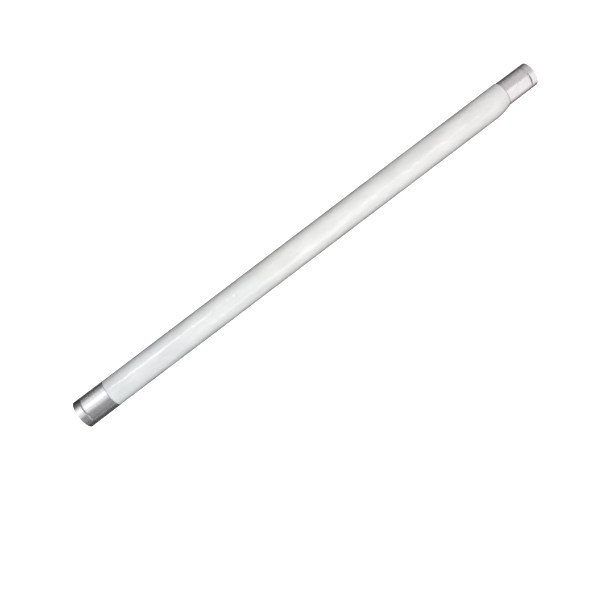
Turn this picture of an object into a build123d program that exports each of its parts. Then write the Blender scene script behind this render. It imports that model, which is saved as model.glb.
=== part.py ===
from build123d import *
import os
from math import cos, radians, sin, sqrt

# A two-pin lamp tube: an opal plastic tube with a turned aluminium cap on each end, and inside it
# a slide-in aluminium rail that carries a strip of light-emitting chips and the driver.
# The lamp lies along X with its broad cap towards -X, and it shines towards +Z.
# The origin is the middle of the lamp, on the axis of the opal tube. Sizes are in millimetres.

os.makedirs("parts", exist_ok=True)

# Whole lamp, from the rim of one cap to the rim of the other
rim_to_rim = 589.8

# Opal tube
tube_r = 15.75
tube_wall = 1.2
shoulder_length = 20.8
shoulder_end_r = 14.1
shoulder_steps = 6

# Caps: the broad one on the near end, the slimmer one set off centre on the far end
cap_wall = 0.6
near_cap_step = 0.25
near_cap_length = 38.0
near_groove_from_rim = 8.7
far_cap_r = 13.6
far_cap_length = 36.2
far_groove_from_rim = 7.2
far_cap_shift = 1.5
groove_half_width = 0.95
groove_floor_half_width = 0.4
groove_depth = 0.7
neck_gap = 0.1
neck_to_bead = 1.0

# Insulating discs held inside the rims
disc_recess = 2.5
disc_thickness = 1.8
disc_gap = 0.1
disc_skirt_wall = 1.5

# Contact pins of the usual two-pin base
pin_r = 1.175
pin_spacing = 12.7
pin_length = 7.1
pin_tip_chamfer = 0.6
pin_shank_r = 1.45
pin_shank_gap = 0.05
pin_head_r = 2.1
pin_head_thickness = 0.8

# Guide ribs that stand in from the bore and hold the rail by its two edges
rib_thickness = 1.0
rib_overlap = 1.3
rib_root = 0.4
rail_top_gap = 0.2

# Slide-in rail, a flat plate with two legs and an inward lip on each leg
rail_top_z = -0.5
rail_plate = 1.5
rail_edge_gap = 0.3
rail_leg_inside = 9.5
rail_leg_wall = 1.2
rail_leg_drop = 6.2
rail_lip = 1.2
rail_lip_thickness = 1.0
rail_from_near_seat = 5.0
rail_to_shoulder = 3.5

# Light board and its chips
board_width = 20.0
board_thickness = 1.2
board_end_margin = 1.0
chip_count = 48
chip_length = 2.8
chip_width = 3.5
chip_height = 0.8
chip_taper = 8

# Driver board, which rests on the lips of the rail and stands out of the rail's near end
driver_length = 92.0
driver_thickness = 1.2
driver_side_gap = 0.3
driver_overhang = 10.0

# Driver components, which hang from the underside of the driver board
fuse_r = 3.0
fuse_height = 5.2
film_capacitor_size = (10.0, 5.0, 5.6)
rectifier_size = (6.4, 5.0, 2.4)
choke_r = 4.0
choke_waist_r = 2.6
choke_height = 5.4
choke_flange = 1.0
transformer_length = 13.0
transformer_width = 12.6
transformer_height = 4.6
transformer_leg = 2.4
winding_gap = 0.15
chip_body_size = (4.9, 3.9, 1.6)
can_r = 2.9
can_length = 11.0
can_seat_gap = 0.1
capacitor_bevel = 0.35
moulding_draft = 6

# Where each component stands, as a share of the driver board's length from its near end
fuse_at = 0.13
film_capacitor_at = 0.26
rectifier_at = 0.38
choke_at = 0.49
transformer_at = 0.63
driver_chip_at = 0.755
can_at = 0.88

# Leads
input_wire_r = 0.7
output_wire_r = 0.6
wire_sides = 8
wire_bend = 4.0
bend_runs = 3
output_wire_bend = 2.2
output_wire_half_spacing = 3.6
lead_pad_from_end = 4.0
output_pad_from_end = 4.0
output_arch = 5.2
jumper_reach = 9.0

# Places that follow from the sizes above
near_rim_x = -rim_to_rim / 2
far_rim_x = rim_to_rim / 2
near_seat_x = near_rim_x + near_cap_length
far_seat_x = far_rim_x - far_cap_length
shoulder_x = far_seat_x - shoulder_length
bore_r = tube_r - tube_wall
near_cap_r = tube_r + near_cap_step
near_neck_r = near_cap_r - cap_wall - neck_gap
far_neck_r = far_cap_r - cap_wall - neck_gap
far_neck_bore_r = far_neck_r - tube_wall
near_neck_end_x = near_rim_x + near_groove_from_rim + groove_half_width + neck_to_bead
far_neck_end_x = far_rim_x - far_groove_from_rim - groove_half_width - neck_to_bead
rail_bottom_z = rail_top_z - rail_plate
rail_half = sqrt(bore_r**2 - rail_bottom_z**2) - rail_edge_gap
rail_start_x = near_seat_x + rail_from_near_seat
rail_end_x = shoulder_x - rail_to_shoulder
rail_length = rail_end_x - rail_start_x
lip_bottom_z = rail_bottom_z - rail_leg_drop
lip_top_z = lip_bottom_z + rail_lip_thickness
driver_start_x = rail_start_x - driver_overhang
driver_top_z = lip_top_z + driver_thickness
board_top_z = rail_top_z + board_thickness


def export(piece, name):
    """Label a finished piece and write it to its own file."""
    piece.part.label = name
    export_step(piece.part, f"parts/{name}.step")


def plane_at(x, y=0.0, z=0.0):
    """A plane across the lamp, with its own x along Y and its own y along Z."""
    return Plane(origin=(x, y, z), x_dir=(0, 1, 0), z_dir=(1, 0, 0))


def shoulder_r(share):
    """Outer radius at a share of the shoulder's length: it leaves the tube smoothly and rounds in."""
    return tube_r - (tube_r - shoulder_end_r) * share**2


def shoulder_bore_r(share):
    """Bore radius at the same share: the wall thickens until it meets the neck's bore."""
    return bore_r - (bore_r - far_neck_bore_r) * share**2


# The opal tube: straight body, off-centre shoulder, a neck inside each cap and four guide ribs
shares = [step / (shoulder_steps - 1) for step in range(shoulder_steps)]
with BuildPart() as diffuser_tube:
    with BuildSketch(plane_at(near_neck_end_x)):
        Circle(near_neck_r)
    extrude(amount=near_seat_x - near_neck_end_x)
    with BuildSketch(plane_at(near_seat_x)):
        Circle(tube_r)
    extrude(amount=shoulder_x - near_seat_x)
    for share in shares:
        outer = shoulder_r(share)
        with BuildSketch(plane_at(shoulder_x + share * shoulder_length, tube_r - outer)):
            Circle(outer)
    loft()
    with BuildSketch(plane_at(far_seat_x, far_cap_shift)):
        Circle(far_neck_r)
    extrude(amount=far_neck_end_x - far_seat_x)
    with BuildSketch(plane_at(near_neck_end_x)):
        Circle(bore_r)
    extrude(amount=shoulder_x - near_neck_end_x, mode=Mode.SUBTRACT)
    for share in shares:
        with BuildSketch(plane_at(shoulder_x + share * shoulder_length, far_cap_shift * share**2)):
            Circle(shoulder_bore_r(share))
    loft(mode=Mode.SUBTRACT)
    with BuildSketch(plane_at(far_seat_x, far_cap_shift)):
        Circle(far_neck_bore_r)
    extrude(amount=far_neck_end_x - far_seat_x, mode=Mode.SUBTRACT)
    rib_inside = rail_half - rib_overlap
    rib_depth = bore_r + rib_root - rib_inside
    upper_rib_z = rail_top_z + rail_top_gap + rib_thickness / 2
    lower_rib_z = rail_bottom_z - rib_thickness / 2
    with BuildSketch(plane_at(near_neck_end_x)):
        for side in (-1, 1):
            for rib_z in (upper_rib_z, lower_rib_z):
                with Locations((side * (rib_inside + rib_depth / 2), rib_z)):
                    Rectangle(rib_depth, rib_thickness)
        Circle(bore_r + rib_root, mode=Mode.INTERSECT)
    extrude(amount=shoulder_x - near_neck_end_x)
export(diffuser_tube, "diffuser_tube")


def turned_cap(rim_x, inward, length, outer_r, groove_from_rim, axis_y):
    """A thin cap turned about its own axis, with one rolled groove that stands in as a bead."""
    inner_r = outer_r - cap_wall

    def groove_line(radius):
        """The wall's line at one radius, from the rim over the groove to the cap's inner end."""
        steps = (
            (0, 0),
            (groove_from_rim - groove_half_width, 0),
            (groove_from_rim - groove_floor_half_width, groove_depth),
            (groove_from_rim + groove_floor_half_width, groove_depth),
            (groove_from_rim + groove_half_width, 0),
            (length, 0),
        )
        return [(rim_x + inward * along, axis_y + radius - sink) for along, sink in steps]

    with BuildPart() as cap:
        with BuildSketch():
            with BuildLine():
                Polyline(*groove_line(outer_r), *reversed(groove_line(inner_r)), close=True)
            make_face()
        revolve(axis=Axis((0, axis_y, 0), (1, 0, 0)))
    return cap


near_cap = turned_cap(near_rim_x, 1, near_cap_length, near_cap_r, near_groove_from_rim, 0.0)
export(near_cap, "near_cap")
far_cap = turned_cap(far_rim_x, -1, far_cap_length, far_cap_r, far_groove_from_rim, far_cap_shift)
export(far_cap, "far_cap")


def insulating_disc(rim_x, inward, cap_r, groove_from_rim, axis_y):
    """A moulded disc inside the rim, with a skirt that reaches back to the cap's bead."""
    disc_r = cap_r - cap_wall - disc_gap
    front_x = rim_x + inward * disc_recess
    skirt_end_x = rim_x + inward * (groove_from_rim - groove_half_width)
    back_x = front_x + inward * disc_thickness
    with BuildPart() as disc:
        with BuildSketch(plane_at(front_x, axis_y)):
            Circle(disc_r)
        extrude(amount=skirt_end_x - front_x)
        with BuildSketch(plane_at(back_x, axis_y)):
            Circle(disc_r - disc_skirt_wall)
        extrude(amount=skirt_end_x - back_x, mode=Mode.SUBTRACT)
        with BuildSketch(plane_at(front_x, axis_y)):
            with GridLocations(pin_spacing, 0, 2, 1):
                Circle(pin_shank_r + pin_shank_gap)
        extrude(amount=back_x - front_x, mode=Mode.SUBTRACT)
    return disc


near_insulator = insulating_disc(near_rim_x, 1, near_cap_r, near_groove_from_rim, 0.0)
export(near_insulator, "near_insulator")
far_insulator = insulating_disc(far_rim_x, -1, far_cap_r, far_groove_from_rim, far_cap_shift)
export(far_insulator, "far_insulator")


def contact_pin(rim_x, inward, pin_y):
    """A turned pin: contact with a bevelled tip outside, shank in the disc, flat head inside."""
    front_x = rim_x + inward * disc_recess
    back = disc_thickness + pin_head_thickness

    def spot(from_front, radius):
        return (front_x + inward * from_front, pin_y + radius)

    with BuildPart() as pin:
        with BuildSketch():
            with BuildLine():
                Polyline(
                    spot(-pin_length, 0),
                    spot(-pin_length, pin_r),
                    spot(0, pin_r),
                    spot(0, pin_shank_r),
                    spot(disc_thickness, pin_shank_r),
                    spot(disc_thickness, pin_head_r),
                    spot(back, pin_head_r),
                    spot(back, 0),
                    close=True,
                )
            make_face()
            tip = vertices().group_by(Axis.X)[0 if inward > 0 else -1].sort_by(Axis.Y)[-1]
            chamfer(tip, pin_tip_chamfer)
        revolve(axis=Axis((0, pin_y, 0), (1, 0, 0)))
    return pin


for side, letter in ((-1, "a"), (1, "b")):
    near_pin = contact_pin(near_rim_x, 1, side * pin_spacing / 2)
    export(near_pin, f"near_pin_{letter}")
    far_pin = contact_pin(far_rim_x, -1, far_cap_shift + side * pin_spacing / 2)
    export(far_pin, f"far_pin_{letter}")

# The rail: a plate whose edges slide in the guide ribs, with two lipped legs for the driver board
with BuildPart() as heat_sink_rail:
    with BuildSketch(plane_at(rail_start_x)):
        with Locations((0, rail_top_z - rail_plate / 2)):
            Rectangle(2 * rail_half, rail_plate)
        for side in (-1, 1):
            leg_y = side * (rail_leg_inside + rail_leg_wall / 2)
            with Locations((leg_y, rail_bottom_z - rail_leg_drop / 2)):
                Rectangle(rail_leg_wall, rail_leg_drop)
            lip_y = side * (rail_leg_inside - rail_lip / 2)
            with Locations((lip_y, lip_bottom_z + rail_lip_thickness / 2)):
                Rectangle(rail_lip, rail_lip_thickness)
    extrude(amount=rail_length)
export(heat_sink_rail, "heat_sink_rail")

# The light board lies on the rail, with the chips in one row along its middle
board_length = rail_length - 2 * board_end_margin
board_middle_x = (rail_start_x + rail_end_x) / 2
with BuildPart() as led_board:
    with BuildSketch(Plane.XY.offset(rail_top_z)):
        with Locations((board_middle_x, 0)):
            Rectangle(board_length, board_width)
    extrude(amount=board_thickness)
export(led_board, "led_board")

chip_pitch = board_length / chip_count
with BuildPart() as led_chips:
    with BuildSketch(Plane.XY.offset(board_top_z)):
        with Locations((board_middle_x, 0)):
            with GridLocations(chip_pitch, 0, chip_count, 1):
                Rectangle(chip_length, chip_width)
    extrude(amount=chip_height, taper=chip_taper)
export(led_chips, "led_chips")

# The driver board rests on the two lips of the rail
driver_width = 2 * (rail_leg_inside - driver_side_gap)
with BuildPart() as driver_board:
    with BuildSketch(Plane.XY.offset(lip_top_z)):
        with Locations((driver_start_x + driver_length / 2, 0)):
            Rectangle(driver_length, driver_width)
    extrude(amount=driver_thickness)
export(driver_board, "driver_board")


def underside(share):
    """The plane on the driver board's underside at a share of its length, facing down."""
    spot = (driver_start_x + share * driver_length, 0, lip_top_z)
    return Plane(origin=spot, x_dir=(1, 0, 0), z_dir=(0, 0, -1))


def moulded_body(share, size):
    """A moulded body with drafted sides, flat on the underside of the driver board."""
    length, width, height = size
    with BuildPart() as body:
        with BuildSketch(underside(share)):
            Rectangle(length, width)
        extrude(amount=height, taper=moulding_draft)
    return body


with BuildPart() as line_fuse:
    with BuildSketch(underside(fuse_at)):
        Circle(fuse_r)
    extrude(amount=fuse_height)
export(line_fuse, "line_fuse")

# The film capacitor is a cast block with bevelled edges
capacitor_length, capacitor_width, capacitor_height = film_capacitor_size
with BuildPart() as film_capacitor:
    with BuildSketch(underside(film_capacitor_at)):
        Rectangle(capacitor_length, capacitor_width)
    extrude(amount=capacitor_height)
    board_edges = film_capacitor.faces().sort_by(Axis.Z)[-1].edges()
    chamfer(film_capacitor.edges() - board_edges, capacitor_bevel)
export(film_capacitor, "film_capacitor")

export(moulded_body(rectifier_at, rectifier_size), "bridge_rectifier")
export(moulded_body(driver_chip_at, chip_body_size), "driver_chip")

# The choke is a drum core with a waist between two flanges
with BuildPart() as filter_choke:
    with BuildSketch(underside(choke_at)):
        Circle(choke_r)
    extrude(amount=choke_height)
    with BuildSketch(underside(choke_at).offset(choke_flange)):
        Circle(choke_r)
        Circle(choke_waist_r, mode=Mode.SUBTRACT)
    extrude(amount=choke_height - 2 * choke_flange, mode=Mode.SUBTRACT)
export(filter_choke, "filter_choke")

# The transformer is a closed core frame with a wound block through its window
window_length = transformer_length - 2 * transformer_leg
window_width = transformer_width - 2 * transformer_leg
with BuildPart() as transformer_core:
    with BuildSketch(underside(transformer_at)):
        Rectangle(transformer_length, transformer_width)
        Rectangle(window_length, window_width, mode=Mode.SUBTRACT)
    extrude(amount=transformer_height)
export(transformer_core, "transformer_core")
with BuildPart() as transformer_winding:
    with BuildSketch(underside(transformer_at)):
        Rectangle(window_length - 2 * winding_gap, window_width - 2 * winding_gap)
    extrude(amount=transformer_height)
export(transformer_winding, "transformer_winding")

# The smoothing capacitor is a round can that lies along the board
can_z = lip_top_z - can_seat_gap - can_r
can_start_x = driver_start_x + can_at * driver_length - can_length / 2
with BuildPart() as smoothing_capacitor:
    with BuildSketch(plane_at(can_start_x, 0, can_z)):
        Circle(can_r)
    extrude(amount=can_length)
export(smoothing_capacitor, "smoothing_capacitor")


def bent(points, bend):
    """The route with each square corner turned into a few short runs round an arc of that radius."""
    corners = [Vector(*point) for point in points]
    route = [corners[0]]
    for before, corner, after in zip(corners, corners[1:], corners[2:]):
        arriving = (corner - before).normalized()
        leaving = (after - corner).normalized()
        centre = corner + (leaving - arriving) * bend
        for run in range(bend_runs + 1):
            turn = radians(90 * run / bend_runs)
            route.append(centre - leaving * (bend * cos(turn)) + arriving * (bend * sin(turn)))
    route.append(corners[-1])
    return route


def wire(points, wire_r, bend):
    """A sheathed wire along straight runs, mitred where they meet, with an eight-sided section."""
    knots = bent(points, bend)
    with BuildPart() as piece:
        with BuildLine() as route:
            Polyline(*knots)
        with BuildSketch(Plane(origin=knots[0], z_dir=knots[1] - knots[0])):
            RegularPolygon(wire_r, wire_sides)
        sweep(path=route.wire(), transition=Transition.RIGHT)
    return piece


# Input leads run from the near pins and drop onto the driver board
head_back = disc_recess + disc_thickness + pin_head_thickness
near_head_x = near_rim_x + head_back
far_head_x = far_rim_x - head_back
lead_pad_x = driver_start_x + lead_pad_from_end
for side, letter in ((-1, "a"), (1, "b")):
    lead_y = side * pin_spacing / 2
    input_lead = wire(
        [(near_head_x, lead_y, 0), (lead_pad_x, lead_y, 0), (lead_pad_x, lead_y, driver_top_z)],
        input_wire_r,
        wire_bend,
    )
    export(input_lead, f"near_lead_{letter}")

# Output leads rise from the driver board and arch over onto the light board
output_pad_x = rail_start_x + board_end_margin + output_pad_from_end
output_rise_x = driver_start_x + lead_pad_from_end
output_top_z = board_top_z + output_arch
for side, letter in ((-1, "a"), (1, "b")):
    lead_y = side * output_wire_half_spacing
    output_lead = wire(
        [
            (output_rise_x, lead_y, driver_top_z),
            (output_rise_x, lead_y, output_top_z),
            (output_pad_x, lead_y, output_top_z),
            (output_pad_x, lead_y, board_top_z),
        ],
        output_wire_r,
        output_wire_bend,
    )
    export(output_lead, f"output_lead_{letter}")

# One jumper joins the two far pins
jumper_x = far_head_x - jumper_reach
jumper_low_y = far_cap_shift - pin_spacing / 2
jumper_high_y = far_cap_shift + pin_spacing / 2
far_jumper_lead = wire(
    [
        (far_head_x, jumper_low_y, 0),
        (jumper_x, jumper_low_y, 0),
        (jumper_x, jumper_high_y, 0),
        (far_head_x, jumper_high_y, 0),
    ],
    input_wire_r,
    wire_bend,
)
export(far_jumper_lead, "far_jumper_lead")
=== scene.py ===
import math

import bpy
import numpy as np
from bpy.props import FloatProperty, FloatVectorProperty, IntProperty, PointerProperty
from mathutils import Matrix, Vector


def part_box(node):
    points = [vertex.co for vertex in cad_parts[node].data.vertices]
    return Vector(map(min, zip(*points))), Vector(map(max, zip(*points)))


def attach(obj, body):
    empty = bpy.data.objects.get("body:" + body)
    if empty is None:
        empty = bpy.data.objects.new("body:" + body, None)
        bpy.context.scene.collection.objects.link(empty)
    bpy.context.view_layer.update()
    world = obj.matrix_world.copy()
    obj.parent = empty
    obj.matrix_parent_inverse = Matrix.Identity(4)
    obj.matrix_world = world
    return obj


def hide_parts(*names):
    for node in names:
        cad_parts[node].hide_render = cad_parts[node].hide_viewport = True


bl_info = {
    "name": "Opal tube lamp",
    "version": (1, 0, 0),
    "blender": (4, 5, 0),
    "location": "View3D > Sidebar > Tube lamp",
    "description": "Finishes a two-pin opal tube lamp and lights it on a pale floor",
    "category": "Object",
}

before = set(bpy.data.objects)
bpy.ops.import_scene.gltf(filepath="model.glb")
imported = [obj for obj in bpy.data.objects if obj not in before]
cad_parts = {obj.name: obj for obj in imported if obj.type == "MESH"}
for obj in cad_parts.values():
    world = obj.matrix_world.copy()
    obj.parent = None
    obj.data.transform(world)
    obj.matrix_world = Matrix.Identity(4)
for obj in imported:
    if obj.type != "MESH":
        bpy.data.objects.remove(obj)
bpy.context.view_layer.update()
MM = 0.001


def span(node):
    """Lowest and highest corner of a node as two arrays."""
    low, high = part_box(node)
    return np.array(low), np.array(high)


TUBE_LOW, TUBE_HIGH = span("diffuser_tube")
NEAR_CAP_LOW, NEAR_CAP_HIGH = span("near_cap")
FAR_CAP_LOW, FAR_CAP_HIGH = span("far_cap")


class TubeSizes(bpy.types.PropertyGroup):
    """Sizes and colours of the opal tube."""

    wall: FloatProperty(name="Wall", description="Wall of the tube", default=1.2 * MM, unit="LENGTH")
    neck_step: FloatProperty(
        name="Near neck step",
        description="How far the near neck stands inside the tube's outside",
        default=0.45 * MM,
        unit="LENGTH",
    )
    shoulder: FloatProperty(
        name="Shoulder length",
        description="Length of the far shoulder",
        default=20.8 * MM,
        unit="LENGTH",
    )
    shoulder_radius: FloatProperty(
        name="Shoulder end radius",
        description="Outside radius where the shoulder meets the far cap",
        default=14.1 * MM,
        unit="LENGTH",
    )
    neck_clearance: FloatProperty(
        name="Neck clearance",
        description="Gap between a neck and its cap",
        default=0.1 * MM,
        unit="LENGTH",
    )
    edge_round: FloatProperty(
        name="Edge round",
        description="Round on the tube's two outer edges",
        default=0.4 * MM,
        unit="LENGTH",
    )
    rib_thickness: FloatProperty(
        name="Rib thickness",
        description="Thickness of a guide rib",
        default=1.0 * MM,
        unit="LENGTH",
    )
    rib_overlap: FloatProperty(
        name="Rib overlap",
        description="How far a rib reaches over the rail",
        default=1.3 * MM,
        unit="LENGTH",
    )
    rib_gap: FloatProperty(
        name="Rib gap",
        description="Gap over the rail's upper face",
        default=0.2 * MM,
        unit="LENGTH",
    )
    rib_round: FloatProperty(
        name="Rib round",
        description="Round on both edges of a rib's tip",
        default=0.2 * MM,
        unit="LENGTH",
    )
    rib_root: FloatProperty(
        name="Rib root",
        description="How deep a rib is set into the wall",
        default=0.3 * MM,
        unit="LENGTH",
    )
    rail_plate: FloatProperty(
        name="Rail plate",
        description="Thickness of the rail's plate, which the ribs hold from both sides",
        default=1.5 * MM,
        unit="LENGTH",
    )
    segments: IntProperty(name="Segments", description="Faces round the tube", default=192, min=24)
    opal: FloatVectorProperty(
        name="Opal",
        description="Colour of the opal plastic",
        default=(0.915, 0.918, 0.914),
        subtype="COLOR",
    )
    opal_deep: FloatVectorProperty(
        name="Deeper opal",
        description="Colour of its faint cloudier patches",
        default=(0.795, 0.799, 0.797),
        subtype="COLOR",
    )


class CapSizes(bpy.types.PropertyGroup):
    """Sizes and colours of the two turned caps, and the shade and dark reflection painted on them."""

    wall: FloatProperty(name="Wall", description="Wall of a cap", default=0.6 * MM, unit="LENGTH")
    near_groove: FloatProperty(
        name="Near groove",
        description="Distance of the near groove from its rim",
        default=8.7 * MM,
        unit="LENGTH",
    )
    far_groove: FloatProperty(
        name="Far groove",
        description="Distance of the far groove from its rim",
        default=7.2 * MM,
        unit="LENGTH",
    )
    groove_half_width: FloatProperty(
        name="Groove half width",
        description="Half the groove's width",
        default=0.95 * MM,
        unit="LENGTH",
    )
    groove_depth: FloatProperty(
        name="Groove depth",
        description="Depth of the rolled groove",
        default=0.7 * MM,
        unit="LENGTH",
    )
    near_taper: FloatProperty(
        name="Near taper",
        description="How much slimmer the near cap is at the tube than at its rim",
        default=0.2 * MM,
        unit="LENGTH",
    )
    far_taper: FloatProperty(
        name="Far taper",
        description="How much slimmer the far cap is at its rim than at the tube",
        default=0.25 * MM,
        unit="LENGTH",
    )
    rim_round: FloatProperty(
        name="Rim round",
        description="Round on the edges of the rim",
        default=0.25 * MM,
        unit="LENGTH",
    )
    seat_round: FloatProperty(
        name="Seat round",
        description="Round on the edges that meet the tube",
        default=0.28 * MM,
        unit="LENGTH",
    )
    segments: IntProperty(name="Segments", description="Faces round a cap", default=256, min=24)
    metal: FloatVectorProperty(
        name="Metal",
        description="Colour of the turned metal",
        default=(0.66, 0.66, 0.675),
        subtype="COLOR",
    )
    metal_dull: FloatVectorProperty(
        name="Dull metal",
        description="Colour of its duller rings",
        default=(0.56, 0.56, 0.58),
        subtype="COLOR",
    )
    # painted shade: dark colour in the grooves and along the seams with the tube, where shade falls
    near_painted_shade: FloatProperty(
        name="Near painted shade",
        description="Share of painted shade in the near groove and seam",
        default=0.22,
        subtype="FACTOR",
    )
    far_painted_shade: FloatProperty(
        name="Far painted shade",
        description="Share of painted shade in the far groove",
        default=0.1,
        subtype="FACTOR",
    )
    far_seam_painted_shade: FloatProperty(
        name="Far seam painted shade",
        description="Share of painted shade in the far seam",
        default=0.5,
        subtype="FACTOR",
    )
    shade_core: FloatProperty(
        name="Shade core",
        description="Half width of the darkest painted shade",
        default=0.2 * MM,
        unit="LENGTH",
    )
    shade_reach: FloatProperty(
        name="Shade reach",
        description="Half width at which the painted shade ends",
        default=0.9 * MM,
        unit="LENGTH",
    )
    # painted dark reflection: share of the dark colour on the sides of the near lip
    painted_reflection: FloatProperty(
        name="Painted reflection",
        description="Share of the same dark colour on the sides of the near lip, as a painted dark reflection",
        default=0.72,
        subtype="FACTOR",
    )
    # colour of the painted shade in the grooves and seams and of the painted dark reflection on the near
    # lip
    painted_dark_colour: FloatVectorProperty(
        name="Painted dark colour",
        description="Colour of that painted shade and dark reflection",
        default=(0.12, 0.12, 0.12),
        subtype="COLOR",
    )


class PinSizes(bpy.types.PropertyGroup):
    """Sizes of the contact pins."""

    contact_radius: FloatProperty(
        name="Contact radius",
        description="Radius of the contact",
        default=1.175 * MM,
        unit="LENGTH",
    )
    shank_radius: FloatProperty(
        name="Shank radius", description="Radius inside the disc", default=1.45 * MM, unit="LENGTH"
    )
    disc_thickness: FloatProperty(
        name="Disc thickness",
        description="Thickness that the shank fills",
        default=1.8 * MM,
        unit="LENGTH",
    )
    head_thickness: FloatProperty(
        name="Head thickness",
        description="Thickness of the riveted head",
        default=0.8 * MM,
        unit="LENGTH",
    )
    tip_round: FloatProperty(
        name="Tip round", description="Round on the contact's tip", default=0.6 * MM, unit="LENGTH"
    )
    segments: IntProperty(name="Segments", description="Faces round a pin", default=64, min=16)


class StageSizes(bpy.types.PropertyGroup):
    """Sizes, places and levels of the floor, lights, cards, world and camera."""

    floor_drop: FloatProperty(
        name="Floor drop",
        description="Height of the lamp's axis over the floor",
        default=0.30,
        unit="LENGTH",
    )
    floor_half: FloatProperty(
        name="Floor half size", description="Half the side of the floor", default=6.0, unit="LENGTH"
    )
    floor_grey: FloatProperty(
        name="Floor grey",
        description="Shade of the floor for the light that it gives back",
        default=0.62,
        subtype="FACTOR",
    )
    floor_lift: FloatProperty(
        name="Floor lift",
        description="What the background's rays see on top of that shade",
        default=0.68,
        subtype="FACTOR",
    )
    ambient: FloatProperty(
        name="Ambient",
        description="Light of the world overhead on matt surfaces",
        default=0.97,
        subtype="FACTOR",
    )
    ambient_low: FloatProperty(
        name="Low ambient",
        description="Light of the world at the horizon on matt surfaces",
        default=1.3,
        subtype="FACTOR",
    )
    top_power: FloatProperty(
        name="Top light power",
        description="Power of the broad top light",
        default=9.4,
        unit="POWER",
    )
    top_place: FloatVectorProperty(
        name="Top light place",
        description="Place of that light over the lamp",
        default=(0.0, -0.55, 0.95),
        subtype="TRANSLATION",
    )
    top_size: FloatVectorProperty(
        name="Top light size",
        description="Its width and depth",
        default=(0.5, 0.7),
        size=2,
        unit="LENGTH",
    )
    panel_height: FloatProperty(
        name="Panel height",
        description="Height of the panels whose streaks the tube shows",
        default=1.0,
        unit="LENGTH",
    )
    card_radius: FloatProperty(
        name="Card radius",
        description="Radius of the trough of dark cards",
        default=0.22,
        unit="LENGTH",
    )
    card_half: FloatProperty(
        name="Card half length",
        description="Half the length of that trough",
        default=0.8,
        unit="LENGTH",
    )
    camera_height: FloatProperty(
        name="Camera height",
        description="Height of the camera over the axis",
        default=0.733,
        unit="LENGTH",
    )
    camera_x: FloatProperty(
        name="Camera x",
        description="Place of the camera along the lamp",
        default=-0.0405,
        unit="LENGTH",
    )
    camera_y: FloatProperty(
        name="Camera y",
        description="Place of the camera beside the lamp",
        default=-0.0420,
        unit="LENGTH",
    )
    camera_roll: FloatProperty(
        name="Camera roll",
        description="Angle of the lamp in the picture",
        default=math.radians(37.18),
        unit="ROTATION",
    )
    lens: FloatProperty(
        name="Lens",
        description="Focal length of the camera",
        default=41.83,
        unit="CAMERA",
    )


def settings(name):
    """One of the groups of settings of this scene."""
    return getattr(bpy.context.scene, name)


# Shapes as whole arrays

# points that are nearer to each other than this, in metres, are one
SAME_POINT = 1e-9
# share of its radius at which a turned end stops, so that one fan of faces closes it
POLE_SHARE = 0.02


def arc(centre, radius, start, end, count):
    """Points of a circular arc: centre plus radius times cosine and sine of evenly spaced angles."""
    angle = np.radians(np.linspace(start, end, count))
    return np.stack([centre[0] + radius * np.cos(angle), centre[1] + radius * np.sin(angle)], 1)


def straight(start, end, count):
    """Points of a line, closer together near both ends: the share is half of one minus a cosine."""
    share = (1 - np.cos(np.linspace(0, math.pi, count))) / 2
    return np.outer(1 - share, start) + np.outer(share, end)


def joined(*stretches):
    """Stretches of points one after another, without points that repeat the one before."""
    points = np.concatenate(stretches)
    moved = np.linalg.norm(np.diff(points, axis=0), axis=1) > SAME_POINT
    return points[np.concatenate([[True], moved])]


def lathe(outline, axis_y, segments):
    """Rings round an axis along X: a point of the outline at (x, radius) turns through evenly spaced
    angles, with y = axis_y + radius cos(angle) and z = radius sin(angle)."""
    angle = np.arange(segments) * 2 * math.pi / segments
    x = np.repeat(outline[:, :1], segments, 1)
    y = axis_y + outline[:, 1:2] * np.cos(angle)
    z = outline[:, 1:2] * np.sin(angle)
    return np.stack([x, y, z], 2)


def eccentric_rings(stations, segments):
    """Rings across X, each a circle: a station is (x, centre y, radius)."""
    angle = np.arange(segments) * 2 * math.pi / segments
    x = np.repeat(stations[:, :1], segments, 1)
    y = stations[:, 1:2] + stations[:, 2:3] * np.cos(angle)
    z = stations[:, 2:3] * np.sin(angle)
    return np.stack([x, y, z], 2)


def strip_faces(rows, columns, close_rows):
    """Quads between neighbouring rings, closed round each ring; close_rows joins last to first."""
    row = np.arange(rows if close_rows else rows - 1)[:, None]
    column = np.arange(columns)[None, :]
    next_row, next_column = (row + 1) % rows, (column + 1) % columns
    corners = (
        row * columns + column,
        row * columns + next_column,
        next_row * columns + next_column,
        next_row * columns + column,
    )
    return np.stack(np.broadcast_arrays(*corners), -1).reshape(-1, 4)


def signed_volume(points, groups):
    """Six times the volume that triangle fans over the faces enclose, positive when they face out."""
    total = 0.0
    for faces in groups:
        for second in range(1, faces.shape[1] - 1):
            a, b, c = (points[faces[:, k]] for k in (0, second, second + 1))
            total += np.einsum("ij,ij->i", a, np.cross(b, c)).sum()
    return total


def fill_mesh(mesh, points, groups):
    """Write points and faces into an empty mesh; all faces of one group have as many corners."""
    corners = np.concatenate([faces.ravel() for faces in groups])
    sizes = np.concatenate([np.full(len(faces), faces.shape[1]) for faces in groups])
    mesh.vertices.add(len(points))
    mesh.vertices.foreach_set("co", points.ravel())
    mesh.loops.add(len(corners))
    mesh.loops.foreach_set("vertex_index", corners)
    mesh.polygons.add(len(sizes))
    mesh.polygons.foreach_set("loop_start", np.cumsum(sizes) - sizes)
    mesh.update(calc_edges=True)


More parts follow.
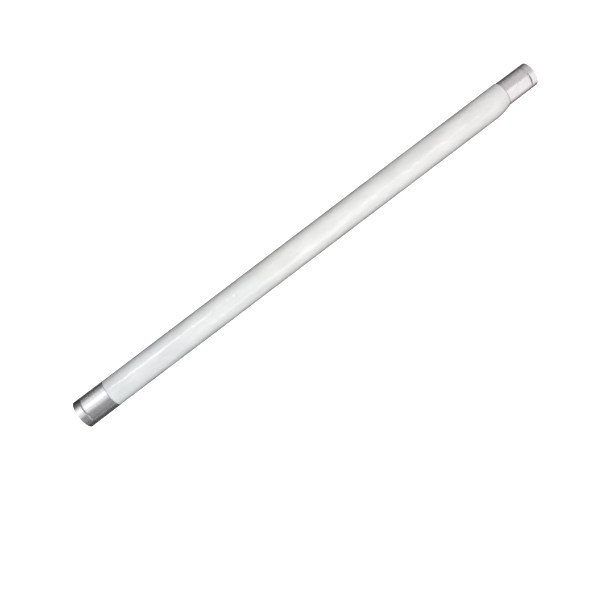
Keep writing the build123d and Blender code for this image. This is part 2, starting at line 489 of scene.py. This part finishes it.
def mesh_piece(name, shells, material, sharp_degrees=38.0):
    """An object from closed shells of points and faces, smooth except at edges sharper than an angle.
    A shell whose volume comes out negative has its faces turned round, so that all point outwards."""
    points, groups, base = [], [], 0
    for shell_points, shell_groups in shells:
        turn = -1 if signed_volume(shell_points, shell_groups) < 0 else 1
        groups += [faces[:, ::turn] + base for faces in shell_groups]
        points.append(shell_points)
        base += len(shell_points)
    mesh = bpy.data.meshes.new(name)
    fill_mesh(mesh, np.concatenate(points), groups)
    mesh.polygons.foreach_set("use_smooth", np.ones(len(mesh.polygons), bool))
    mesh.set_sharp_from_angle(angle=math.radians(sharp_degrees))
    mesh.materials.append(material)
    mesh.validate()
    piece = bpy.data.objects.new(name, mesh)
    bpy.context.scene.collection.objects.link(piece)
    return piece


def ring_shell(rings):
    """A closed shell from rings whose last ring joins the first, as a wall with an inside."""
    rows, columns = rings.shape[:2]
    return rings.reshape(-1, 3), [strip_faces(rows, columns, True)]


def capped_shell(rings):
    """A closed shell from rings, with one point on the axis closing each end in a fan."""
    rows, columns = rings.shape[:2]
    points = rings.reshape(-1, 3)
    first, last = points[:columns].mean(0), points[-columns:].mean(0)
    column = np.arange(columns)
    after = (column + 1) % columns
    pole, last_ring = np.full(columns, len(points)), (rows - 1) * columns
    start = np.stack([after, column, pole], 1)
    end = np.stack([last_ring + column, last_ring + after, pole + 1], 1)
    faces = [strip_faces(rows, columns, False), start, end]
    return np.concatenate([points, [first, last]]), faces


def bar_shell(section, start_x, end_x):
    """A straight bar along X: the section's (y, z) points at both ends, with flat ends."""
    count = len(section)
    ends = [np.column_stack([np.full(count, x), section]) for x in (start_x, end_x)]
    lids = np.stack([np.arange(count), np.arange(2 * count)[:count - 1:-1]])
    return np.concatenate(ends), [strip_faces(2, count, False), lids]


# Node trees

class Tree:
    """A node tree, with short ways to add to it. A value is a number, a colour or a node's output."""

    def __init__(self, owner):
        owner.use_nodes = True
        self.nodes = owner.node_tree.nodes
        self.links = owner.node_tree.links

    def add(self, kind, inputs=None, **options):
        """A new node with its options, then its inputs, each set or linked."""
        node = self.nodes.new("ShaderNode" + kind)
        for name, option in options.items():
            setattr(node, name, option)
        for name, value in (inputs or {}).items():
            if isinstance(value, bpy.types.NodeSocket):
                self.links.new(value, node.inputs[name])
            else:
                node.inputs[name].default_value = value
        return node

    def parts(self, coordinates):
        """The three parts of a kind of coordinates, named X, Y and Z."""
        place = self.add("TexCoord").outputs[coordinates]
        return self.add("SeparateXYZ", {"Vector": place}).outputs

    def math(self, operation, *values):
        """One math node over one or two values."""
        return self.add("Math", dict(enumerate(values)), operation=operation).outputs["Value"]

    def ranged(self, value, low, high, start=0.3, end=0.7, curve="LINEAR"):
        """A value brought from the range of start to end to that of low to high."""
        inputs = {"Value": value, "From Min": start, "From Max": end, "To Min": low, "To Max": high}
        return self.add("MapRange", inputs, interpolation_type=curve).outputs["Result"]

    def eased(self, value, start, end, low, high):
        """A value eased from low to high as it goes from start to end."""
        return self.ranged(value, low, high, start, end, "SMOOTHSTEP")

    def blend(self, share, first, second):
        """The first value at a share of 0, the second at 1."""
        change = self.math("SUBTRACT", second, first)
        return self.math("ADD", first, self.math("MULTIPLY", change, share))

    def between(self, share, first, second, mode="MIX"):
        """A colour between two others, or what another mode of mixing makes of them."""
        inputs = {"Factor": share}
        for name, colour in (("A", first), ("B", second)):
            inputs[name] = colour if isinstance(colour, bpy.types.NodeSocket) else (*colour, 1)
        return self.add("Mix", inputs, data_type="RGBA", blend_type=mode).outputs["Result"]

    def ray(self, *kinds):
        """One for rays of any of these kinds, and nought for the others."""
        path = self.add("LightPath")
        total = path.outputs[kinds[0]]
        for kind in kinds[1:]:
            total = self.math("MAXIMUM", total, path.outputs[kind])
        return total


class Finish(Tree):
    """A material with one Principled shader, whose patterns lie in object coordinates."""

    def __init__(self, name):
        self.material = bpy.data.materials.new(name)
        super().__init__(self.material)
        self.shader = self.nodes["Principled BSDF"]
        self.place = self.add("TexCoord").outputs["Object"]

    def noise(self, grains, detail=3.0, rough=0.5):
        """Noise with about so many grains to a metre on each axis."""
        stretched = self.add("Mapping", {"Vector": self.place, "Scale": grains}).outputs["Vector"]
        inputs = {"Vector": stretched, "Scale": 1.0, "Detail": detail, "Roughness": rough}
        return self.add("TexNoise", inputs).outputs["Fac"]

    def along(self, axis):
        """Distance along one of the lamp's axes."""
        return self.add("SeparateXYZ", {"Vector": self.place}).outputs[axis]

    def rings_at(self, rings, core, reach):
        """Rings round X, each a place and a level, eased to nothing between two half widths."""
        along, total = self.along("X"), 0.0
        for place, level in rings:
            away = self.math("ABSOLUTE", self.math("SUBTRACT", along, place))
            total = self.math("ADD", total, self.eased(away, core, reach, level, 0))
        return total

    def colour(self, source):
        """Colour of the surface, from an output."""
        self.links.new(source, self.shader.inputs["Base Color"])

    def roughness(self, source):
        """Roughness of the surface, from an output."""
        self.links.new(source, self.shader.inputs["Roughness"])

    def bump(self, height, strength, distance):
        """Small relief from a height, under the coat too."""
        inputs = {"Height": height, "Strength": strength, "Distance": distance}
        normal = self.add("Bump", inputs).outputs["Normal"]
        self.links.new(normal, self.shader.inputs["Normal"])
        self.links.new(normal, self.shader.inputs["Coat Normal"])

    def fixed(self, **values):
        """Constant values set on the shader's own sockets."""
        for name, value in values.items():
            self.shader.inputs[name.replace("_", " ")].default_value = value


# Finishes

# painted light tint along the tube: cool at the near end, yellow in the middle and warm at the far end
COOL_LIGHT_TINT, YELLOW_LIGHT_TINT, WARM_LIGHT_TINT = (0.975, 1.0, 1.02), (1.0, 1.01, 0.985), (1.014, 0.998, 0.988)
# share of the tube's half length at which the painted light tints of its ends are full
LIGHT_TINT_REACH = 0.9
# grey tint of the clear coat: painted shade that darkens the tube at low angles, towards its outlines
OUTLINE_SHADE_TINT = (0.72, 0.72, 0.72, 1)
# painted dark reflection on the lip's back and front, eased in or out between two shares of the radius
# along Y
BACK, FRONT = (0.34, 0.60), (-0.80, -0.45)


def opal_plastic():
    """Glossy milky plastic: faint clouds drawn out along the tube, a slight ripple, a very faint painted
    light tint that goes from cool through yellow to warm along it, and a grey coat tint that darkens low
    angles as painted shade."""
    tube = settings("lamp_tube")
    finish = Finish("opal_plastic")
    clouds = finish.ranged(finish.noise((30, 90, 90), detail=5.0, rough=0.6), 0, 1)
    milk = finish.between(clouds, tube.opal, tube.opal_deep)
    half, along = TUBE_HIGH[0] * LIGHT_TINT_REACH, finish.along("X")
    # painted light tint along the tube, from cool through yellow to warm
    cast = finish.between(finish.ranged(along, 0, 1, -half, 0), COOL_LIGHT_TINT, YELLOW_LIGHT_TINT)
    cast = finish.between(finish.ranged(along, 0, 1, 0, half), cast, WARM_LIGHT_TINT)
    finish.colour(finish.between(1.0, milk, cast, "MULTIPLY"))
    finish.roughness(finish.ranged(finish.noise((60, 180, 180), detail=2.0), 0.13, 0.19))
    finish.bump(finish.noise((45, 42, 42)), 1.0, 1.4 * MM)
    # the coat's grey tint paints shade at low angles, towards the tube's outlines
    finish.fixed(IOR=1.6, Coat_Weight=1.0, Coat_Roughness=0.07, Coat_IOR=1.01, Coat_Tint=OUTLINE_SHADE_TINT)
    return finish.material


def lip_tarnish(finish, cap):
    """Share of painted dark reflection on the lip outside the near groove, full on its back and half on
    its front.
    """
    radius, groove = NEAR_CAP_HIGH[2], NEAR_CAP_LOW[0] + cap.near_groove
    back, front = radius * np.array((BACK, FRONT))
    across = finish.along("Y")
    sides = finish.math(
        "ADD",
        finish.eased(across, *back, 0, cap.painted_reflection),
        finish.eased(across, *front, cap.painted_reflection / 2, 0),
    )
    lip = finish.eased(finish.along("X"), groove - cap.shade_reach, groove, 1, 0)
    return finish.math("MULTIPLY", sides, lip)


def turned_metal():
    """Turned aluminium: fine uneven rings round the axis, speckle, faint smears, painted shade in the
    two grooves and along the two seams with the tube, and a painted dark reflection on both sides of the
    near lip."""
    cap = settings("lamp_caps")
    finish = Finish("turned_metal")
    rings = finish.noise((900, 6, 6), detail=4.0, rough=0.6)
    speckle = finish.noise((420, 420, 420), detail=2.0)
    smears = finish.noise((70, 90, 90))
    worn = finish.math("ADD", finish.ranged(rings, 0, 0.5), finish.ranged(speckle, 0, 0.5))
    bare = finish.between(worn, cap.metal, cap.metal_dull)
    # painted shade: dark colour in the two grooves and along the two seams with the tube
    places = (
        (NEAR_CAP_LOW[0] + cap.near_groove, cap.near_painted_shade),
        (NEAR_CAP_HIGH[0], cap.near_painted_shade),
        (FAR_CAP_HIGH[0] - cap.far_groove, cap.far_painted_shade),
        (FAR_CAP_LOW[0], cap.far_seam_painted_shade),
    )
    film = finish.rings_at(places, cap.shade_core, cap.shade_reach)
    # painted dark reflection: the same dark colour on both sides of the near lip
    film = finish.math("ADD", film, lip_tarnish(finish, cap))
    finish.colour(finish.between(film, bare, cap.painted_dark_colour))
    finish.roughness(finish.ranged(smears, 0.22, 0.32))
    finish.bump(rings, 0.10, 0.12 * MM)
    finish.fixed(Metallic=1.0)
    return finish.material


def plated_metal():
    """Bright plated pins with fine turning marks."""
    finish = Finish("plated_pin_metal")
    marks = finish.noise((1400, 30, 30))
    finish.colour(finish.between(finish.ranged(marks, 0, 1), (0.74, 0.72, 0.66), (0.62, 0.59, 0.52)))
    finish.roughness(finish.ranged(marks, 0.16, 0.30))
    finish.bump(marks, 0.15, 0.08 * MM)
    finish.fixed(Metallic=1.0)
    return finish.material


def moulded(name, light, dark, roughness, grain=900.0):
    """Moulded plastic: a slight change of shade and of gloss, and a fine even grain."""
    finish = Finish(name)
    shade = finish.ranged(finish.noise((45, 45, 45)), 0, 1)
    finish.colour(finish.between(shade, light, dark))
    finish.roughness(finish.ranged(finish.noise((200, 200, 200)), roughness - 0.05, roughness + 0.07))
    finish.bump(finish.noise((grain, grain, grain), detail=2.0), 0.18, 0.1 * MM)
    return finish.material


def extruded_metal():
    """Extruded aluminium: die lines drawn out along the rail."""
    finish = Finish("extruded_metal")
    lines = finish.noise((4, 900, 900))
    finish.colour(finish.between(finish.ranged(lines, 0, 1), (0.72, 0.73, 0.74), (0.60, 0.61, 0.63)))
    finish.roughness(finish.ranged(lines, 0.28, 0.42))
    finish.bump(lines, 0.2, 0.1 * MM)
    finish.fixed(Metallic=1.0)
    return finish.material


def board_mask(name, light, dark):
    """Solder mask over a board: smooth, with a faint weave of the copper beneath."""
    finish = Finish(name)
    weave = finish.noise((320, 320, 900), detail=2.0)
    finish.colour(finish.between(finish.ranged(weave, 0, 1), light, dark))
    finish.roughness(finish.ranged(finish.noise((90, 90, 90)), 0.32, 0.45))
    finish.bump(weave, 0.15, 0.1 * MM)
    return finish.material


def ride_and_replace(piece, node):
    """A piece rides with the one body and stands for a node, which is hidden."""
    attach(piece, "root")
    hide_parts(node)


class LAMP_OT_opal_tube(bpy.types.Operator):
    """Make the opal tube with its shoulder, its two necks and its guide ribs"""

    bl_idname = "lamp.opal_tube"
    bl_label = "Opal tube"

    def execute(self, context):
        size = settings("lamp_tube")
        cap = settings("lamp_caps")
        radius = TUBE_HIGH[2]
        bore = radius - size.wall
        seat, far_seat = NEAR_CAP_HIGH[0], FAR_CAP_LOW[0]
        shift = (FAR_CAP_LOW[1] + FAR_CAP_HIGH[1]) / 2
        neck = radius - size.neck_step
        far_neck = (FAR_CAP_HIGH[1] - FAR_CAP_LOW[1]) / 2 - cap.wall - size.neck_clearance
        far_bore = far_neck - size.wall
        shoulder = far_seat - size.shoulder
        rounding = size.edge_round

        # stations are (x, centre y, radius); the shoulder's radius falls with the square of its share,
        # and its outside stops just before the round on the edge that meets the far cap
        share = np.linspace(0, 1, 40)
        drop = (radius - size.shoulder_radius) * share**2
        outside = np.stack([shoulder + share * size.shoulder, drop, radius - drop], 1)
        inside_r = bore - (bore - far_bore) * share**2
        inside = np.stack([shoulder + share * size.shoulder, shift * share**2, inside_r], 1)

        def level(start_x, end_x, centre_y, start_r, end_r, count):
            """Stations of a straight stretch on one centre."""
            line = straight((start_x, start_r), (end_x, end_r), count)
            return np.stack([line[:, 0], np.full(count, centre_y), line[:, 1]], 1)

        def edge(centre_x, centre_y, centre_r, start, end, count=7):
            """Stations of a rounded edge on one centre."""
            bend = arc((centre_x, centre_r), rounding, start, end, count)
            return np.stack([bend[:, 0], np.full(count, centre_y), bend[:, 1]], 1)

        end_centre = radius - size.shoulder_radius
        before_round = outside[:, 0] < far_seat - rounding * 1.2
        stations = joined(
            level(TUBE_LOW[0], seat, 0, neck, neck, 8),
            level(seat, seat, 0, neck, radius - rounding, 3),
            edge(seat + rounding, 0, radius - rounding, 180, 90),
            level(seat + rounding, shoulder, 0, radius, radius, 49),
            outside[before_round],
            edge(far_seat - rounding, end_centre, size.shoulder_radius - rounding, 80, 0),
            level(far_seat, far_seat, shift, far_neck + cap.wall, far_neck, 3),
            level(far_seat, TUBE_HIGH[0], shift, far_neck, far_neck, 8),
            level(TUBE_HIGH[0], TUBE_HIGH[0], shift, far_neck, far_bore, 3),
            level(TUBE_HIGH[0], far_seat, shift, far_bore, far_bore, 8),
            inside[::-1],
            level(shoulder, TUBE_LOW[0], 0, bore, bore, 9),
        )
        shells = [ring_shell(eccentric_rings(stations, size.segments))]
        ribs = self.rib_sections(size, bore)
        shells += [bar_shell(section, TUBE_LOW[0], shoulder) for section in ribs]
        piece = mesh_piece("opal_tube", shells, opal_plastic())
        ride_and_replace(piece, "diffuser_tube")
        return {"FINISHED"}

    @staticmethod
    def rib_sections(size, bore):
        """Sections of the four ribs: a tip with two small rounds, and a root set into the wall."""
        rail_high = span("heat_sink_rail")[1]
        board_low = span("led_board")[0]
        plate_low = rail_high[2] - size.rail_plate
        tip, rounding = rail_high[1] - size.rib_overlap, size.rib_round
        root = bore + size.rib_root
        bottoms = (board_low[2] + size.rib_gap, plate_low - size.rib_thickness)
        sections = []
        for side in (-1, 1):
            for bottom in bottoms:
                top = bottom + size.rib_thickness
                outline = joined(
                    arc((tip + rounding, top - rounding), rounding, 90, 180, 5),
                    arc((tip + rounding, bottom + rounding), rounding, 180, 270, 5),
                    np.array([(root, bottom), (root, top)]),
                )
                sections.append(outline * (side, 1))
        return sections


class LAMP_OT_caps(bpy.types.Operator):
    """Make the two turned caps with their rolled grooves"""

    bl_idname = "lamp.caps"
    bl_label = "Caps"

    def execute(self, context):
        size = settings("lamp_caps")
        material = turned_metal()
        rows = (
            ("near", NEAR_CAP_LOW, NEAR_CAP_HIGH, 1, size.near_groove, (0, size.near_taper)),
            ("far", FAR_CAP_LOW, FAR_CAP_HIGH, -1, size.far_groove, (size.far_taper, 0)),
        )
        for end, low, high, inward, groove, slimming in rows:
            rim = low[0] if inward > 0 else high[0]
            radius, length = (high[1] - low[1]) / 2, high[0] - low[0]
            outline = self.outline(size, radius, length, groove)
            outside = outline[:, 1] > radius - size.wall
            outline[outside, 1] -= np.interp(outline[outside, 0], (0, length), slimming)
            outline = np.stack([rim + inward * outline[:, 0], outline[:, 1]], 1)
            rings = lathe(outline, (low[1] + high[1]) / 2, size.segments)
            piece = mesh_piece(f"{end}_cap_shell", [ring_shell(rings)], material)
            ride_and_replace(piece, f"{end}_cap")
        return {"FINISHED"}

    @staticmethod
    def outline(size, radius, length, groove):
        """Closed outline of (distance from the rim, radius): rounded rim, a groove whose depth falls
        off from its floor as a hyperbola does, the seat edge, and the same groove inside as a bead."""
        inner, half = radius - size.wall, size.groove_half_width
        rim, seat = size.rim_round, size.seat_round
        share, roundness = np.linspace(-1, 1, 25), 0.03
        slope = np.sqrt(share**2 + roundness)
        sink = size.groove_depth * (slope[0] - slope) / (slope[0] - slope.min())
        groove_outside = np.stack([groove + half * share, radius - sink], 1)
        groove_inside = np.stack([groove + half * share, inner - sink], 1)[::-1]
        return joined(
            arc((rim, radius - rim), rim, 180, 90, 7),
            straight((rim, radius), (groove - half, radius), 13),
            groove_outside,
            straight((groove + half, radius), (length - seat, radius), 21),
            arc((length - seat, radius - seat), seat, 90, 0, 5),
            arc((length - seat, inner + seat), seat, 0, -90, 5),
            straight((length - seat, inner), (groove + half, inner), 13),
            groove_inside,
            straight((groove - half, inner), (rim, inner), 9),
            arc((rim, inner + rim), rim, -90, -180, 7),
        )


class LAMP_OT_pins(bpy.types.Operator):
    """Make the four contact pins"""

    bl_idname = "lamp.pins"
    bl_label = "Contact pins"

    def execute(self, context):
        size = settings("lamp_pins")
        material = plated_metal()
        for end, inward in (("near", 1), ("far", -1)):
            for letter in "ab":
                node = f"{end}_pin_{letter}"
                low, high = span(node)
                tip_x = low[0] if inward > 0 else high[0]
                outline = self.outline(size, high[0] - low[0], (high[1] - low[1]) / 2)
                outline = np.stack([tip_x + inward * outline[:, 0], outline[:, 1]], 1)
                rings = lathe(outline, (low[1] + high[1]) / 2, size.segments)
                piece = mesh_piece(f"{node}_contact", [capped_shell(rings)], material)
                ride_and_replace(piece, node)
        return {"FINISHED"}

    @staticmethod
    def outline(size, length, head_radius):
        """Outline of (distance from the tip, radius): round tip, contact, shank and flat head."""
        contact, tip = size.contact_radius, size.tip_round
        head = length - size.head_thickness
        shank = head - size.disc_thickness
        return joined(
            straight((0, contact * POLE_SHARE), (0, contact - tip), 5),
            arc((tip, contact - tip), tip, 180, 90, 9),
            straight((tip, contact), (shank, contact), 9),
            straight((shank, contact), (shank, size.shank_radius), 3),
            straight((shank, size.shank_radius), (head, size.shank_radius), 3),
            straight((head, size.shank_radius), (head, head_radius), 3),
            straight((head, head_radius), (length, head_radius), 3),
            straight((length, head_radius), (length, head_radius * POLE_SHARE), 4),
        )


class LAMP_OT_discs(bpy.types.Operator):
    """Finish the two insulating discs"""

    bl_idname = "lamp.discs"
    bl_label = "Insulating discs"

    def execute(self, context):
        material = moulded("disc_plastic", (0.80, 0.80, 0.78), (0.72, 0.72, 0.70), 0.5)
        for node in ("near_insulator", "far_insulator"):
            dress(node, material)
        return {"FINISHED"}


def dress(node, material):
    """Put one material on a node that keeps its own shape."""
    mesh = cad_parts[node].data
    mesh.materials.clear()
    mesh.materials.append(material)


class LAMP_OT_inside(bpy.types.Operator):
    """Finish the rail, the boards, the driver and the leads inside the tube"""

    bl_idname = "lamp.inside"
    bl_label = "Inside"

    def execute(self, context):
        black = moulded("black_moulding", (0.035, 0.035, 0.037), (0.02, 0.02, 0.022), 0.45)
        white_wire = moulded("white_sheath", (0.78, 0.78, 0.77), (0.68, 0.68, 0.67), 0.4)
        ferrite = moulded("ferrite", (0.085, 0.085, 0.09), (0.045, 0.045, 0.05), 0.6, grain=2200.0)
        finishes = {
            "heat_sink_rail": extruded_metal(),
            "led_board": board_mask("white_mask", (0.86, 0.87, 0.87), (0.80, 0.81, 0.81)),
            "led_chips": moulded("chip_resin", (0.84, 0.82, 0.72), (0.78, 0.75, 0.62), 0.2),
            "driver_board": board_mask("driver_mask", (0.55, 0.44, 0.24), (0.45, 0.35, 0.18)),
            "line_fuse": black,
            "bridge_rectifier": black,
            "driver_chip": black,
            "film_capacitor": moulded("film_case", (0.72, 0.52, 0.10), (0.62, 0.43, 0.07), 0.25),
            "filter_choke": ferrite,
            "transformer_core": ferrite,
            "transformer_winding": moulded("winding_tape", (0.74, 0.58, 0.12), (0.64, 0.49, 0.09), 0.35),
            "smoothing_capacitor": moulded("can_sleeve", (0.04, 0.05, 0.11), (0.03, 0.035, 0.08), 0.3),
            "near_lead_a": white_wire,
            "near_lead_b": white_wire,
            "far_jumper_lead": white_wire,
            "output_lead_a": moulded("red_sheath", (0.45, 0.04, 0.035), (0.36, 0.03, 0.03), 0.4),
            "output_lead_b": white_wire,
        }
        for node, material in finishes.items():
            dress(node, material)
        return {"FINISHED"}


# The studio as reflections see it, by an angle about the lamp's axis that is 0 overhead and grows
# towards +Y: the angle of a middle, how far to each side of it the fall of its light starts and ends,
# and the levels before and after that fall.
NEAR_ROOM, NEAR_BOX = (0, 50, 114, 0.41, 0.11), (30, 31, 60, 0.86, 0)
FAR_ROOM, FAR_BOX = (-17, 66, 130, 0.88, 0.15), (-60, 25, 80, 0.58, 0)
NEAR_TINT, FAR_TINT = (1.0, 0.998, 0.995), (1.0, 0.955, 0.935)
# along X: from the near studio to the far one, and the fall of both towards the room's two ends
CHANGE_ALONG, WALLS_ALONG = (-0.25, 0.35, 0, 1), (0.5, 0.9, 1.0, 0.3)
# the panels over the lamp: the (x, y) of both ends, half the width, and the level
PANELS = {
    "near_streak": ((-0.60, 0.505), (-0.24, 0.42), 0.115, 7.0),
    "middle_glow": ((-0.22, -1.05), (0.26, -0.95), 0.35, 3.0),
    "far_streak": ((0.17, -0.42), (0.59, -0.15), 0.07, 5.0),
}
WHITE = (1, 1, 1)


def studio_light(tree, coordinates):
    """Level and colour of the studio's soft boxes, from a ray's direction or a place in metres.

    Over the near end a broad soft box stands on the +Y side of a mid-grey room, and over the far end
    another fills the other side, a little warmer. Below the lamp and beyond its two ends the room
    falls off to dark grey.
    """
    place = tree.parts(coordinates)
    angle = tree.math("MULTIPLY", tree.math("ARCTAN2", place["Y"], place["Z"]), 180 / math.pi)

    def lit(middle, *fall):
        """Level of a room or a box at the angle."""
        return tree.eased(tree.math("ABSOLUTE", tree.math("SUBTRACT", angle, middle)), *fall)

    near = tree.math("ADD", lit(*NEAR_ROOM), lit(*NEAR_BOX))
    far = tree.math("ADD", lit(*FAR_ROOM), lit(*FAR_BOX))
    end = tree.eased(place["X"], *CHANGE_ALONG)
    walls = tree.eased(tree.math("ABSOLUTE", place["X"]), *WALLS_ALONG)
    level = tree.math("MULTIPLY", tree.blend(end, near, far), walls)
    return level, tree.between(end, NEAR_TINT, FAR_TINT)


def glow_material(name, even=1.0, coordinates=None):
    """A surface that gives off light: evenly, or as the studio does where coordinates are named."""
    material = bpy.data.materials.new(name)
    tree = Tree(material)
    tree.nodes.remove(tree.nodes["Principled BSDF"])
    light = {"Strength": even}
    if coordinates:
        light["Strength"], light["Color"] = studio_light(tree, coordinates)
        material.cycles.emission_sampling = "NONE"
    glow = tree.add("Emission", light)
    tree.links.new(glow.outputs["Emission"], tree.nodes["Material Output"].inputs["Surface"])
    return material


def stage_mesh(name, points, faces, material):
    """A mesh of the stage, which isn't part of the object."""
    mesh = bpy.data.meshes.new(name)
    fill_mesh(mesh, np.array(points, float), [np.array(faces)])
    mesh.materials.append(material)
    thing = bpy.data.objects.new(name, mesh)
    bpy.context.scene.collection.objects.link(thing)
    return thing


class LAMP_OT_stage(bpy.types.Operator):
    """Make the floor, the panels, the dark cards, the top light, the world and the camera"""

    bl_idname = "lamp.stage"
    bl_label = "Stage"

    def execute(self, context):
        size = settings("lamp_stage")
        self.floor(size)
        for name, panel in PANELS.items():
            self.panel(size, name, *panel)
        self.cards(size)
        self.top_light(size)
        self.world(size)
        self.camera(size)
        context.scene.view_settings.view_transform = "Standard"
        return {"FINISHED"}

    @staticmethod
    def floor(size):
        """A pale matt floor, lifted to white for the rays that show the background."""
        material = bpy.data.materials.new("floor")
        tree = Tree(material)
        shader = tree.nodes["Principled BSDF"]
        shader.inputs["Base Color"].default_value = (*[size.floor_grey] * 3, 1)
        shader.inputs["Roughness"].default_value = 1.0
        shader.inputs["Specular IOR Level"].default_value = 0.0
        shader.inputs["Emission Color"].default_value = (*WHITE, 1)
        shown = tree.ray("Is Camera Ray", "Is Glossy Ray", "Is Transmission Ray")
        lift = tree.math("MULTIPLY", shown, size.floor_lift)
        tree.links.new(lift, shader.inputs["Emission Strength"])
        material.cycles.emission_sampling = "NONE"
        half, z = size.floor_half, -size.floor_drop
        corners = ((-half, -half, z), (half, -half, z), (half, half, z), (-half, half, z))
        stage_mesh("floor", corners, [(0, 1, 2, 3)], material)

    @staticmethod
    def panel(size, name, start, end, half_width, level):
        """A long panel over the lamp, which gloss draws as a streak; the camera and matt surfaces
        don't see it."""
        start, end = np.array(start), np.array(end)
        along = (end - start) / np.linalg.norm(end - start)
        across = np.array((-along[1], along[0])) * half_width
        sides = ((start, -1), (start, 1), (end, 1), (end, -1))
        corners = [(*(point + side * across), size.panel_height) for point, side in sides]
        panel = stage_mesh(name, corners, [(0, 1, 2, 3)], glow_material(name, level))
        panel.visible_camera = False
        panel.visible_diffuse = False

    @staticmethod
    def cards(size):
        """A trough of cards below the lamp that only reflections see, so that its edges draw dark:
        half a circle round the lamp's axis, from 3 degrees under its level to 3 degrees under it on
        the other side."""
        angle = np.radians(np.linspace(-3, -177, 41))
        count = len(angle)
        y, z = size.card_radius * np.cos(angle), size.card_radius * np.sin(angle)
        ends = (-size.card_half, size.card_half)
        points = np.concatenate([np.column_stack([np.full(count, x), y, z]) for x in ends])
        first = np.arange(count - 1)
        faces = np.stack([first, first + 1, first + 1 + count, first + count], 1)
        material = glow_material("dark_cards", coordinates="Object")
        cards = stage_mesh("dark_cards", points, faces, material)
        for kind in ("camera", "diffuse", "shadow", "transmission"):
            setattr(cards, f"visible_{kind}", False)

    @staticmethod
    def top_light(size):
        """A broad soft light overhead and a little towards -Y, left out of reflections. It is turned
        away from the lamp, which gets the weaker light at the side of its beam."""
        data = bpy.data.lights.new("top_light", "AREA")
        data.shape = "RECTANGLE"
        data.size, data.size_y = size.top_size
        data.energy = size.top_power
        light = bpy.data.objects.new("top_light", data)
        bpy.context.scene.collection.objects.link(light)
        x, y, z = size.top_place
        light.location = (x, y, z)
        light.rotation_euler = (math.atan2(y, z), 0, 0)
        light.visible_glossy = False

    @staticmethod
    def world(size):
        """White to the camera, the soft boxes to reflections, and an even light to matt surfaces."""
        world = bpy.data.worlds.new("studio")
        bpy.context.scene.world = world
        tree = Tree(world)
        strength, colour = studio_light(tree, "Generated")
        height, low, high = tree.parts("Generated")["Z"], 0.1, 0.75
        even = tree.eased(height, low, high, size.ambient_low, size.ambient)
        glossy = tree.ray("Is Glossy Ray")
        lit = tree.blend(glossy, even, strength)
        level = tree.blend(tree.ray("Is Camera Ray", "Is Transmission Ray"), lit, 1.0)
        tint = tree.between(glossy, WHITE, colour)
        background = tree.nodes["Background"]
        tree.links.new(tint, background.inputs["Color"])
        tree.links.new(level, background.inputs["Strength"])
        world.cycles.sampling_method = "NONE"

    @staticmethod
    def camera(size):
        """A camera that looks straight down on the lamp, rolled so that it rises to the right."""
        data = bpy.data.cameras.new("camera")
        data.sensor_width = 36.0
        data.lens = size.lens
        data.clip_end = 50.0
        camera = bpy.data.objects.new("camera", data)
        bpy.context.scene.collection.objects.link(camera)
        camera.location = (size.camera_x, size.camera_y, size.camera_height)
        camera.rotation_euler = (0, 0, -size.camera_roll)
        bpy.context.scene.camera = camera


class LAMP_PT_sidebar(bpy.types.Panel):
    """Steps and sizes of the tube lamp"""

    bl_idname = "LAMP_PT_sidebar"
    bl_label = "Tube lamp"
    bl_space_type = "VIEW_3D"
    bl_region_type = "UI"
    bl_category = "Tube lamp"

    def draw(self, context):
        for operator in OPERATORS:
            self.layout.operator(operator.bl_idname)
        for group in GROUPS:
            box = self.layout.box()
            for name in GROUPS[group].__annotations__:
                box.prop(getattr(context.scene, group), name)


GROUPS = {
    "lamp_tube": TubeSizes,
    "lamp_caps": CapSizes,
    "lamp_pins": PinSizes,
    "lamp_stage": StageSizes,
}
OPERATORS = (
    LAMP_OT_opal_tube,
    LAMP_OT_caps,
    LAMP_OT_discs,
    LAMP_OT_pins,
    LAMP_OT_inside,
    LAMP_OT_stage,
)


def register():
    """Add the groups of settings, the operators and the panel to Blender."""
    for name, group in GROUPS.items():
        bpy.utils.register_class(group)
        setattr(bpy.types.Scene, name, PointerProperty(type=group))
    for operator in OPERATORS:
        bpy.utils.register_class(operator)
    bpy.utils.register_class(LAMP_PT_sidebar)


def unregister():
    """Take them all out again, in the opposite order."""
    bpy.utils.unregister_class(LAMP_PT_sidebar)
    for operator in reversed(OPERATORS):
        bpy.utils.unregister_class(operator)
    for name, group in reversed(GROUPS.items()):
        delattr(bpy.types.Scene, name)
        bpy.utils.unregister_class(group)


def main():
    """Make the lamp and its stage."""
    register()
    bpy.ops.lamp.opal_tube()
    bpy.ops.lamp.caps()
    bpy.ops.lamp.discs()
    bpy.ops.lamp.pins()
    bpy.ops.lamp.inside()
    bpy.ops.lamp.stage()


if __name__ == "__main__":
    main()
